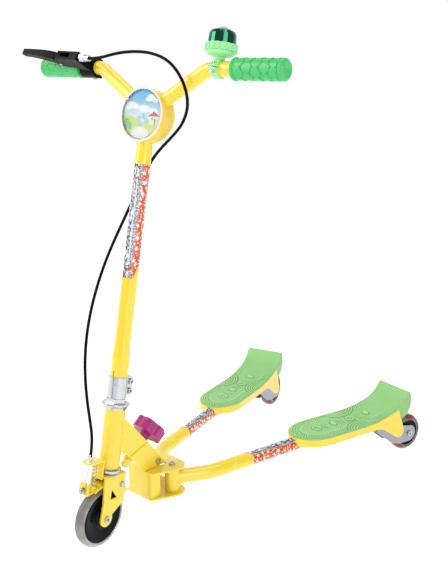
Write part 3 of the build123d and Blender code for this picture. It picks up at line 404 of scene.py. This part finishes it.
def decal(mat, around, along, start, end, band, seed, dab, start_edge=(3.0, 16.0, 20.0),
          end_edge=(0.0, 1.0, 0.0)):
    """A printed wrap between start and end: bare foil with dark dabs round dab, then a mosaic, then
    orange with white stars past band. An edge is where it slopes from, where to, and by how much.
    Gives its colour, and where it lies."""
    vector = mat.join(around, along, 0.0)
    ragged = mat.noise(0.20, 2.0, vector) * 5.0 - 2.5
    fine = mat.noise(0.45, 2.0, vector, 0.6)
    coarse = mat.noise(0.085, 1.0, vector)
    ends = (along > start + 0.86 * (end - start)).max(along < start + 0.20 * (end - start))
    orange = ((around + ragged) > band).max((coarse > 0.57) * ends)
    stars = star_mask(mat, vector, 0.082, 4.6, seed).max(star_mask(mat, vector, 0.14, 2.0, seed + 5))
    from_seam = (around + ragged - band + 2.4).abs()
    mosaic = (fine > 0.49) * (from_seam < 2.6)
    pale = (fine > 0.60) * (from_seam < 3.4)
    long_marks = mat.join(around * 0.9, along * 0.42 + around * 0.3, 3.0)
    dabs = (mat.noise(0.42, 2.0, long_marks, 0.6) > 0.485) * ((around - dab).abs() < 4.6)
    foil = mat.mix(fine, (0.60, 0.62, 0.65), (0.88, 0.88, 0.90))
    colour = mat.mix(orange, foil, (0.66, 0.085, 0.0))
    colour = mat.mix((stars * orange).min(1.0), colour, (0.90, 0.90, 0.90))
    colour = mat.mix(mosaic.min(1.0), colour, (0.16, 0.24, 0.30))
    colour = mat.mix((pale * mosaic.inverted()).min(1.0), colour, (0.60, 0.70, 0.76))
    colour = mat.mix(dabs.min(1.0), colour, (0.03, 0.035, 0.05))
    low, high, rise = start_edge
    first = mat.smooth(around, low, high) * rise + start
    low, high, drop = end_edge
    last = mat.smooth(around, low, high) * (-drop) + end
    inside = (along > first) * (along < last)
    return colour, inside


# ---------------------------------------------------------------- mesh helpers

def new_object(name, verts, faces, mat, values=None):
    """A smooth mesh. values, one for each of its points, are kept on it as the attribute relief."""
    mesh = bpy.data.meshes.new(name)
    mesh.from_pydata([tuple(v) for v in verts], [], faces)
    mesh.validate()
    if values:
        layer = mesh.attributes.new("relief", "FLOAT", "POINT")
        layer.data.foreach_set("value", values + [0.0] * (len(mesh.vertices) - len(values)))
    obj = bpy.data.objects.new(name, mesh)
    link(obj)
    mesh.materials.append(mat.mat)
    bm = bmesh.new()
    bm.from_mesh(mesh)
    bmesh.ops.remove_doubles(bm, verts=bm.verts, dist=1e-6)
    bmesh.ops.recalc_face_normals(bm, faces=bm.faces)
    bm.to_mesh(mesh)
    bm.free()
    for polygon in mesh.polygons:
        polygon.use_smooth = True
    return obj


def dress(node, mat):
    """Gives a CAD node a material."""
    obj = NODES[node]
    obj.data.materials.clear()
    obj.data.materials.append(mat.mat)


def step(x, low, high):
    """Rises smoothly from 0 at low to 1 at high."""
    t = min(1.0, max(0.0, (x - low) / (high - low)))
    return t * t * (3 - 2 * t)


# ---------------------------------------------------------------- materials

def make_materials():
    m = {}
    m["yellow"] = enamel("yellow_enamel", YELLOW)
    m["shell"] = enamel("yellow_shell", (0.86, 0.60, 0.07), rough=0.30, coat=0.2)
    m["chrome"] = plated("bright_plate", (0.56, 0.58, 0.61), 0.12)
    m["zinc"] = plated("zinc_plate", (0.52, 0.53, 0.55), 0.22)
    m["silver"] = plated("silver_enamel", (0.36, 0.37, 0.40), 0.30)
    m["magenta"] = moulded("magenta_moulding", (0.40, 0.018, 0.185), 0.36, 0.04)
    m["grip"] = moulded("grip_rubber", (0.05, 0.50, 0.13), 0.36, 0.05)
    m["mint"] = moulded("mint_moulding", (0.33, 0.80, 0.35), 0.35, 0.03)
    m["dome"] = plated("dark_green_dome", (0.035, 0.17, 0.095), 0.05)
    m["black"] = moulded("black_moulding", (0.004, 0.004, 0.005), 0.34, 0.01, spec=0.3, IOR=1.2)
    m["casing"] = moulded("cable_casing", (0.003, 0.003, 0.004), 0.30, 0.01, spec=0.3, IOR=1.2)
    m["core"] = moulded("wheel_core", (0.004, 0.005, 0.008), 0.12, 0.01, spec=0.3, IOR=1.25)
    m["brake_rubber"] = moulded("brake_rubber", (0.02, 0.02, 0.02), 0.7, 0.1)
    return m


NODES_OF = {
    "yellow": ("yoke", "head_tube", "gusset", "fold_bracket", "knob_lug", "fork", "bar_arm_left",
               "bar_arm_right", "brake_bracket", "brake_arm", "deck_left", "deck_right"),
    "shell": ("picture_housing",),
    "chrome": ("headset_cups", "headset_cones", "clamp_collar", "cover_clips", "cable_adjuster",
               "cable_fittings", "brake_spring", "brake_wire"),
    "zinc": ("fold_pivot_bolt", "leg_pivot_bolts", "clamp_bolts", "bar_screws", "brake_pivot_bolt",
             "front_axle_bolt", "pinch_bolt", "rear_axle_bolt_left", "rear_axle_bolt_right", "knob_stud",
             "front_bearings"),
    "silver": ("caster_fork_left", "caster_fork_right", "caster_mount_left", "caster_mount_right"),
    "magenta": ("knob",),
    "mint": ("bell_base", "bell_ring", "bell_cap"),
    "dome": ("bell_dome",),
    "black": ("lever_housing", "brake_lever"),
    "core": ("front_wheel_core", "rear_wheel_core_left", "rear_wheel_core_right"),
    "brake_rubber": ("brake_pad",),
}


def make_tread(name, colour, clear):
    mat = Mat(name, colour, rough=0.32, coat=0.2)
    mat.set("Transmission Weight", clear)
    mat.set("IOR", 1.45)
    mat.vary(colour, 0.06, 90)
    mat.bump(mat.noise(500, 3.0), 0.05, 0.5)
    return mat


def make_pad_rubber():
    mat = moulded("pad_rubber", (0.27, 0.57, 0.20), 0.45, 0.06)
    # The attribute relief holds the pad's painted light and shade: below 0 painted shade in the grooves,
    # above 0 a painted highlight on the raised tops.
    layer = mat.tree.nodes.new("ShaderNodeAttribute")
    layer.attribute_name = "relief"
    height = Value(mat.tree, layer.outputs["Fac"])
    plain = mat.mix(mat.noise(50, 3.0), (0.25, 0.54, 0.18), (0.29, 0.59, 0.21))
    # Painted shade darkens the grooves.
    painted_groove_shade = mat.mix(mat.smooth(height, -0.8, 0.0, 1.0, 0.0), plain, (0.12, 0.33, 0.085))
    # A painted highlight lightens the raised tops.
    mat.paint(mat.mix(mat.smooth(height, 0.0, 1.0), painted_groove_shade, (0.50, 0.84, 0.38)))
    return mat


def print_stem():
    mat = enamel("printed_stem", YELLOW)
    around, along = wrap_coords(mat, STEERING, TUBE_R, 35.4)
    colour, inside = decal(mat, around, along, 392, 572, 0.8, 1, -11.5)
    mat.paint(mat.mix(inside, mat.colour, colour))
    dress("stem", mat)


def print_leg(side, name):
    mat = enamel("printed_leg_" + name, YELLOW)
    middle = deck_frame(side) @ Matrix.Translation((0, 0, LEG_HEIGHT * MM))
    _, (x, y, z) = mat.local(middle)
    around = x.op("ARCTAN2", z) * TUBE_R
    colour, inside = decal(mat, around, y * -1.0, 240, 374, 9.5, 2 + side, 3.0, (0.0, 1.0, 0.0),
                           (-12.0, 9.0, 16.0))
    mat.paint(mat.mix(inside, mat.colour, colour))
    dress("leg_" + name, mat)


def make_lid():
    """Clear in front of the picture, and whitish at its rim."""
    mat = Mat("clear_lid", (1, 1, 1), rough=0.05)
    mat.set("IOR", 1.10)
    _, (x, _, z) = mat.local(STEERING)
    up = z - DISC_HEIGHT
    rho = (x * x + up * up).op("SQRT")
    window = mat.smooth(rho, 38.4, 39.4, 1.0, 0.30)
    mat.tree.links.new(window.socket, mat.shader.inputs["Transmission Weight"])
    mat.vary((0.93, 0.94, 0.93), 0.03, 40)
    dress("clear_cover", mat)


def make_picture():
    """A printed landscape: sky with clouds, hills, a path and a small house."""
    mat = Mat("printed_card", (0.5, 0.75, 0.95), rough=0.5)
    _, (x, _, z) = mat.local(STEERING)
    up = z - DISC_HEIGHT
    sky = mat.mix(mat.smooth(up, -12, 34), (0.80, 0.91, 0.97), (0.16, 0.50, 0.86))

    def blob(colour, base, cx, cz, rx, rz, soft=0.12):
        across = ((x - cx) * (1 / rx)).op("POWER", 2.0)
        upward = ((up - cz) * (1 / rz)).op("POWER", 2.0)
        r = (across + upward).op("SQRT")
        return mat.mix(mat.smooth(r, 1 - soft, 1 + soft, 1.0, 0.0), base, colour)

    def slab(colour, base, cx, cz, rx, rz):
        r = ((x - cx).abs() * (1 / rx)).max((up - cz).abs() * (1 / rz))
        return mat.mix(r < 1.0, base, colour)

    c = sky
    clouds = ((16, 27, 9, 5), (24, 24, 8, 5), (10, 24, 7, 3.5), (-24, 14, 10, 5.5), (-32, 11, 8, 5),
              (-15, 12, 7, 4), (20, 6, 9, 4), (2, 9, 12, 6))
    for cx, cz, rx, rz in clouds:
        c = blob((0.95, 0.97, 0.98), c, cx, cz, rx, rz, 0.25)
    c = blob((0.62, 0.80, 0.24), c, -30, -22, 30, 20)
    c = blob((0.72, 0.83, 0.30), c, 26, -30, 34, 22)
    c = blob((0.90, 0.93, 0.86), c, -2, -42, 22, 24, 0.06)
    c = blob((0.24, 0.62, 0.28), c, -31, -14, 6, 8)
    c = blob((0.30, 0.66, 0.30), c, -24, -18, 5, 6)
    c = slab((0.95, 0.93, 0.86), c, 23, -8, 7, 6.5)
    roof = (x - 23).abs() * 0.62 + (up - 5.5)
    c = mat.mix((roof < 0.0) * (up > -2.0), c, (0.78, 0.13, 0.11))
    c = slab((0.35, 0.60, 0.88), c, 20, -6, 1.8, 2.0)
    c = slab((0.62, 0.34, 0.20), c, 26, -10, 1.8, 4.2)
    petals, flower_r = 5, 3.1
    for cx, cz in ((-6, -6), (2, -2), (8, -9), (-2, -14)):
        c = blob((0.96, 0.80, 0.20), c, cx, cz, 1.6, 1.6)
        for i in range(petals):
            a = 2 * math.pi * i / petals
            px, pz = cx + flower_r * math.cos(a), cz + flower_r * math.sin(a)
            c = blob((0.35, 0.62, 0.90), c, px, pz, 1.7, 1.7)
    mat.paint(c)
    return mat


def make_rear_tread(name, side):
    """Smoky tread with a dark red band printed in segments."""
    mat = Mat(name, (0.2, 0.2, 0.2), rough=0.3, coat=0.3)
    _, (_, y, z) = mat.local(deck_frame(side))
    dy, dz = y - REAR_AXLE_Y, z - REAR_AXLE_Z
    rho = (dy * dy + dz * dz).op("SQRT")
    angle = dz.op("ARCTAN2", dy) * (1 / (2 * math.pi)) + 1.0
    wave = (angle * 5.0 + 0.15).op("FRACT")
    band = (rho > 28.0) * (rho < 36.6) * (wave < 0.56)
    smoke = mat.mix(mat.noise(70, 3.0), (0.07, 0.072, 0.08), (0.22, 0.22, 0.23))
    mat.paint(mat.mix(band, smoke, (0.22, 0.012, 0.016)))
    mat.bump(mat.noise(500, 3.0), 0.05, 0.4)
    return mat


# ---------------------------------------------------------------- pieces

GRIP_INNER, GRIP_OUTER = 153.0, 241.5
GRIP_R = 14.7
COLLAR_R = 16.8
END_STARTS = 232.0
SCALE_R = 8.9
SCALE_HEIGHT = 1.9


def grip_scales():
    """Where the round scales are centred: along the bar and round it."""
    columns, around, first, pitch = 5, 6, 166.5, 15.2
    scales = []
    for column in range(columns):
        for i in range(around):
            turn = (i + 0.5 * (column % 2)) * 2 * math.pi / around
            scales.append((first + column * pitch, turn))
    return scales


def grip_radius(x, angle, scales):
    if x < GRIP_INNER + 4.0:
        radius = COLLAR_R - (COLLAR_R - GRIP_R) * step(x, GRIP_INNER + 3.2, GRIP_INNER + 4.2)
        if x < GRIP_INNER + 1.0:
            radius -= 0.8 * (1 - step(x, GRIP_INNER, GRIP_INNER + 1.0))
        return radius
    if x > END_STARTS:
        rise = 1.2 * step(x, END_STARTS, END_STARTS + 2.0)
        return GRIP_R + rise - 3.4 * step(x, GRIP_OUTER - 4.0, GRIP_OUTER) ** 2
    lift = 0.0
    for centre, turn in scales:
        u = x - centre
        if abs(u) > SCALE_R:
            continue
        v = ((angle - turn + math.pi) % (2 * math.pi) - math.pi) * 15.5
        d = math.hypot(u, v)
        if d < SCALE_R:
            tilt = 0.35 + 0.65 * (u / 8.8 + 1) / 2
            lift = max(lift, SCALE_HEIGHT * tilt * (1 - step(d, 8.1, SCALE_R)))
    return GRIP_R + lift


def make_grip(side, mat):
    """A grip covered in round scales that overlap towards the inner end."""
    rings, slices = 190, 200
    scales = grip_scales()
    verts, faces = [], []

    def ring(x, radius=None):
        """Adds a circle of points, following the grip's scales where no radius is given."""
        first = len(verts)
        for s in range(slices):
            a = 2 * math.pi * s / slices
            rad = radius or grip_radius(x, a, scales)
            verts.append(at(STEERING, side * x, rad * math.sin(a), BAR_HEIGHT + rad * math.cos(a)))
        return list(range(first, len(verts)))

    def skin(a, b):
        for s in range(slices):
            t = (s + 1) % slices
            faces.append((a[s], a[t], b[t], b[s]))

    body = [ring(GRIP_INNER + (GRIP_OUTER - GRIP_INNER) * r / rings) for r in range(rings + 1)]
    for a, b in zip(body, body[1:]):
        skin(a, b)
    previous = body[-1]
    for rad, back in ((11.5, 0.0), (10.8, 0.5), (4.0, 0.5), (3.2, 1.2)):
        following = ring(GRIP_OUTER - back, rad)
        skin(previous, following)
        previous = following
    faces.append(tuple(previous))
    skin(body[0], ring(GRIP_INNER, 11.2))
    name = "left" if side > 0 else "right"
    obj = new_object("scaled_grip_" + name, verts, faces, mat)
    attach(obj, "steering")
    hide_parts("grip_" + name)


# The pad, in its deck's frame: y along it, with the nose at the front.
PAD_HALF, PAD_TAIL_HALF = 44.5, 42.2
NOSE_Y, NOSE_LENGTH = -201.0, 60.0
TAIL_Y, TAIL_Z = -27.0, 113.3
UNDER_END_Y, UNDER_END_Z = -19.4, 93.0
RELIEF_STARTS, RELIEF_FADES, RELIEF_ENDS = -34, -70, -38
RIM = 2.2
RELIEF_HEIGHT = 1.25
EDGE_R = 1.1


def between(p0, p1, p2, p3, t):
    """A point from p1 to p2 on a smooth curve through four points."""
    return 0.5 * ((2 * p1) + (p2 - p0) * t + (2 * p0 - 5 * p1 + 4 * p2 - p3) * t * t
                  + (3 * p1 - p0 - 3 * p2 + p3) * t ** 3)


def pad_profile():
    """Points down the middle of the pad's top, from its nose over the tail's crest and round behind it."""
    top = 100.3
    flat_start, flat_end = -261, -130
    bend = [(flat_end, top), (-104, top + 0.6), (-78, top + 2.9), (-62, top + 5.6), (-50, top + 8.7),
            (-38, top + 12.5), (-27, top + 17.2), (-18, top + 23.2), (-9, top + 32.0), (-1.7, 142.4),
            (0.3, 143.3), (1.9, 142.0), (4.0, 135.0), (5.2, 126.0), (4.4, 116.0), (0.2, 105.5),
            (-6.0, 97.8), (-13.3, 93.2)]
    marks = [Vector(mark) for mark in (bend[0], *bend, bend[-1])]
    points = [Vector((y, top)) for y in range(flat_start, flat_end)]
    for p0, p1, p2, p3 in zip(marks, marks[1:], marks[2:], marks[3:]):
        n = max(2, int((p2 - p1).length))
        points += [between(p0, p1, p2, p3, k / n) for k in range(n)]
    return points + [marks[-1]]


def deck_height(y):
    """The top of the deck's plate under the pad."""
    marks = [(-300, 97.3), (-130, 97.3), (-104, 97.9), (-78, 100.2), (-62, 102.9), (-50, 105.9),
             (-38, 109.5), (TAIL_Y, TAIL_Z)]
    for (y0, z0), (y1, z1) in zip(marks, marks[1:]):
        if y <= y1:
            return z0 + (z1 - z0) * (y - y0) / (y1 - y0)
    return marks[-1][1]


def half_width(y):
    """Half the pad's width at a distance along the deck."""
    if y < NOSE_Y:
        t = min(1.0, (NOSE_Y - y) / NOSE_LENGTH)
        return max(0.3, PAD_HALF * math.sqrt(max(0.0, 1 - t * t)))
    return PAD_HALF - (PAD_HALF - PAD_TAIL_HALF) * step(y, NOSE_Y + 40, TAIL_Y)


def eye_crest(from_eye, y):
    """Rings round an eye beside the pad, which is filled with straight ridges."""
    if from_eye > 25:
        return step(math.cos((from_eye - 27) * 2 * math.pi / 5.2), -0.2, 0.8)
    return step(math.cos(y * 2 * math.pi / 4.4), 0.2, 0.9)


def edge_dot(y, x, edge):
    """Dots in rows that follow the pad's edge, each row half a dot along from the last."""
    row, pitch, nose_r = 4.2, 4.6, 46
    along = nose_r * math.atan2(y - NOSE_Y, abs(x) + 1e-6) if y < NOSE_Y else y
    j = round(edge / row)
    along += pitch / 2 if j % 2 else 0
    d = math.hypot(edge - j * row, along - round(along / pitch) * pitch)
    return 1 - step(d, 0.8, 1.9)


def from_sign(y, x):
    """How far a point is outside the nearest raised sign: a ring, a chevron, a disc or two bars, in turn."""
    first, last, pitch, far = -214.0, -67.0, 21.0, 9.0
    v = (y - first) % pitch - pitch / 2
    kind = int((y - first) // pitch) % 4
    if not first < y < last:
        return far
    if kind == 0:
        return abs(math.hypot(v, x * 0.9) - 7.0) - 1.9
    if kind == 1:
        return abs(v - 0.6 * abs(x) + 3.0) - 2.2 if abs(x) < 10.5 else far
    if kind == 2:
        return math.hypot(v, x * 0.65) - 5.5
    return abs(abs(v) - 4.5) - 1.7 if abs(x) < 9.5 else far


def pad_relief(y, x):
    """The moulded pattern on the pad at y along and x across: its height in millimetres, and how pale it is
    painted, from -1, painted shade in the grooves, to 1, a painted highlight on the raised tops."""
    edge = half_width(y) - abs(x)
    if y < NOSE_Y:
        edge = min(edge, (1 - math.hypot(x / PAD_HALF, (y - NOSE_Y) / NOSE_LENGTH)) * 46)
    if y > RELIEF_STARTS or edge < RIM:
        return 0.0, 0.0
    fade = 1 - step(y, RELIEF_FADES, RELIEF_ENDS)
    from_eye = math.hypot(abs(x) - 60.0, y + 118.0)
    if from_eye < 47:
        crest = eye_crest(from_eye, y)
        # The second value is painted light and shade: lighter on the rings' crests, darker between them.
        return 0.8 * crest * fade * step(edge, RIM, RIM + 1.4), (1.5 * crest - 0.7) * fade
    if edge < 17.5:
        dot = edge_dot(y, x, edge)
        # The second value is painted light and shade: lighter on the dots, darker between them.
        return dot * fade, (1.7 * dot - 0.6) * fade
    border = 1 - step(abs(edge - 19.4), 0.6, 1.5)
    d = from_sign(y, x)
    shape = 1 - step(d, -0.7, 0.5)
    # A ring of painted shade round each sign's edge, and a painted highlight on its raised top.
    painted_shade_ring = 1 - step(abs(d - 0.6), 0.2, 1.3)
    return max(0.9 * shape, 0.45 * border) * fade, (0.45 * shape - 0.9 * painted_shade_ring + 0.5 * border) * fade


def pad_under(line, tail_start):
    """The points of the pad's lower side, under those of its profile."""
    lengths = [0.0]
    for a, b in zip(line, line[1:]):
        lengths.append(lengths[-1] + (b - a).length)
    under = [Vector((p.x, deck_height(p.x) + 0.02)) for p in line[:tail_start]]
    tail_length = lengths[-1] - lengths[tail_start]
    for length in lengths[tail_start:]:
        t = (length - lengths[tail_start]) / tail_length
        under.append(Vector((TAIL_Y, TAIL_Z)).lerp(Vector((UNDER_END_Y, UNDER_END_Z)), t))
    return under


def make_pad(side, mat):
    """The moulded foot pad. The painted light and shade of each point of its relief, paler on raised tops
    and darker in grooves, is kept on the mesh, for the rubber.
    """
    place = deck_frame(side)
    columns = 112
    line = pad_profile()
    tail_start = next(i for i, p in enumerate(line) if p.x > TAIL_Y)
    verts, faces, painted_shading, rows, under = [], [], [], [], []
    for i, p in enumerate(line):
        along = (line[min(len(line) - 1, i + 1)] - line[max(0, i - 1)]).normalized()
        out = Vector((-along.y, along.x))
        half = half_width(min(p.x, TAIL_Y))
        rows.append(range(len(verts), len(verts) + columns + 1))
        for c in range(columns + 1):
            x = half * (2 * c / columns - 1)
            from_edge = min(1.0, (half - abs(x)) / EDGE_R)
            drop = 0.9 * (1 - math.sqrt(max(0.0, 1 - (1 - from_edge) ** 2)))
            # pale is painted light and shade: lighter on raised tops, darker in grooves.
            relief, pale = pad_relief(p.x, x)
            painted_shading.append(pale)
            q = p + out * (RELIEF_HEIGHT * relief - drop)
            verts.append(at(place, x, q.x, q.y))
    for q in pad_under(line, tail_start):
        half = half_width(min(q.x, TAIL_Y))
        under.append((len(verts), len(verts) + 1))
        verts += [at(place, half * s, q.x, q.y) for s in (-1, 1)]
    for a, b in zip(rows, rows[1:]):
        for c in range(columns):
            faces.append((a[c], a[c + 1], b[c + 1], b[c]))
    for a, b, (a_left, a_right), (b_left, b_right) in zip(rows, rows[1:], under, under[1:]):
        faces.append((a[0], b[0], b_left, a_left))
        faces.append((a[-1], a_right, b_right, b[-1]))
        faces.append((a_left, b_left, b_right, a_right))
    for row, (left, right) in ((rows[-1], under[-1]), (rows[0], under[0])):
        faces.append((*row, right, left))
    name = "left" if side > 0 else "right"
    obj = new_object("foot_pad_" + name, verts, faces, mat, values=painted_shading)
    obj.data.set_sharp_from_angle(angle=math.radians(50))
    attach(obj, name + "_leg")
    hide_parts("pad_" + name)


def make_cable(mat):
    """From the lever's adjuster, in a loop beside the bar, round the stem and down to the brake."""
    lever = Matrix.Translation((0, 0, BAR_HEIGHT)) @ Matrix.Rotation(math.radians(-LEVER_TILT), 4, "X")
    lever @= Matrix.Translation((LEVER_MIDDLE, 0, 0)) @ Matrix.Rotation(math.radians(LEVER_DROOP), 4, "Y")
    start, ahead = (lever @ Vector((x - LEVER_MIDDLE, -38, 0)) for x in (-106, -86))
    points = [
        tuple(start), tuple(ahead), (-47.0, -33.0, 737.6), (-10.0, -28.5, 740.6), (22.0, -26.0, 737.0),
        (50.0, -24.5, 726.4), (72.5, -23.0, 706.0), (86.5, -20.5, 682.0), (86.0, -13.0, 659.0),
        (70.0, -2.0, 637.0), (46.0, 9.0, 620.5), (22.0, 17.0, 604.5), (3.0, 18.6, 585.0),
        (-9.5, 18.8, 560.0), (-18.0, 14.0, 532.0), (-23.5, 6.0, 503.0), (-27.5, -4.5, 473.0),
        (-31.0, -16.5, 441.0), (-33.0, -28.5, 407.0), (-33.0, -39.5, 372.0), (-31.0, -49.5, 336.0),
        (-27.0, -57.0, 300.0), (-21.5, -61.5, 264.0), (-15.0, -62.0, 228.0), (-9.0, -58.5, 194.0),
        (-3.8, -52.8, 163.0), (0.0, -47.0, 134.0), (0.0, -47.0, 106.0)]
    curve = bpy.data.curves.new("cable_casing", "CURVE")
    curve.dimensions = "3D"
    curve.bevel_depth = CABLE_R * MM
    curve.bevel_resolution = 6
    curve.use_fill_caps = True
    spline = curve.splines.new("NURBS")
    spline.points.add(len(points) - 1)
    for point, p in zip(spline.points, points):
        point.co = (*at(STEERING, *p), 1)
    spline.order_u = 3
    spline.use_endpoint_u = True
    spline.resolution_u = 8
    obj = bpy.data.objects.new("cable_casing", curve)
    link(obj)
    curve.materials.append(mat.mat)
    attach(obj, "steering")
    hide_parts("brake_cable")


# ---------------------------------------------------------------- build

SIDES = ((1, "left"), (-1, "right"))

make_camera()
make_studio()
M = make_materials()
for key, nodes in NODES_OF.items():
    for node in nodes:
        dress(node, M[key])
dress("front_tyre", make_tread("grey_tread", (0.80, 0.78, 0.70), 0.85))
for side, name in SIDES:
    dress("rear_tyre_" + name, make_rear_tread("smoky_tread_" + name, side))
dress("picture_disc", make_picture())
print_stem()
for side, name in SIDES:
    print_leg(side, name)
make_lid()

for side, _ in SIDES:
    make_grip(side, M["grip"])
pad_mat = make_pad_rubber()
for side, _ in SIDES:
    make_pad(side, pad_mat)
make_cable(M["casing"])

bpy.context.view_layer.update()
